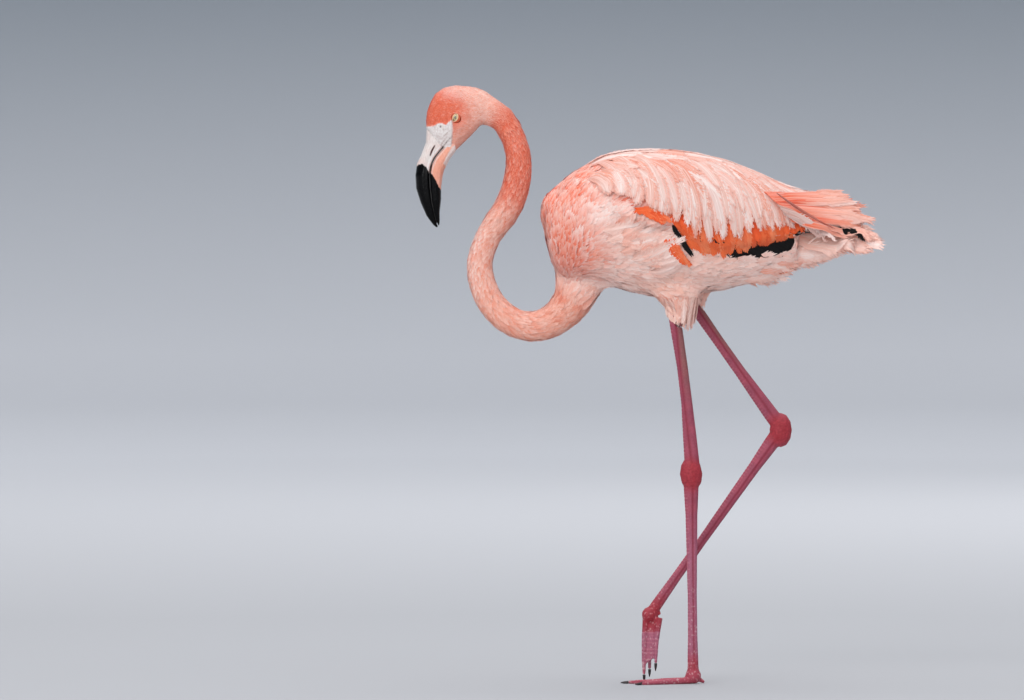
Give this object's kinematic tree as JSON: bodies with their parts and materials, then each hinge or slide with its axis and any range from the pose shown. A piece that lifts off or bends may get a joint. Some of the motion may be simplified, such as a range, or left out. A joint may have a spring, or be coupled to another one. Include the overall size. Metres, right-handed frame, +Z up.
{
  "type": "american flamingo, still life-size model",
  "caption": "Life-size flamingo in mid-step: curved neck with bent bill, folded wings, a straight standing leg and a bent leg with a trailing webbed foot.",
  "frame": {"origin": "on the floor, below the middle of the bird's box", "axes": "+Z up, -X the way the bird faces, -Y its left side"},
  "size_m": [0.629, 0.1788, 0.8084],
  "materials": {
    "plumage": "soft salmon-pink feathers",
    "wing": "pale pink and orange wing feathers",
    "quill": "black flight feathers",
    "horn": "satin horn, pale pink with a glossy black tip",
    "claw": "dark satin horn",
    "skin": "scaly crimson leg skin",
    "eye": "wet gloss, pale yellow iris"
  },
  "bodies": {
    "root": {"head": "plumage", "trunk": "plumage", "tail": "plumage", "neck_top": "plumage", "neck_upper": "plumage", "neck_middle": "plumage", "neck_lower": "plumage", "neck_base": "plumage", "thigh_left": "plumage", "thigh_right": "plumage", "bill_upper": "horn", "bill_lower": "horn", "eye_left": "eye", "eye_right": "eye", "wing_left": "wing", "wing_right": "wing", "quills_left": "quill", "quills_right": "quill", "shank_left": "skin", "shank_right": "skin", "ankle_left": "skin", "ankle_right": "skin", "tarsus_left": "skin", "tarsus_right": "skin", "foot_left": "skin", "foot_right": "skin", "claw_inner_left": "claw", "claw_inner_right": "claw", "claw_middle_left": "claw", "claw_middle_right": "claw", "claw_outer_left": "claw", "claw_outer_right": "claw"}
  },
  "joints": []
}
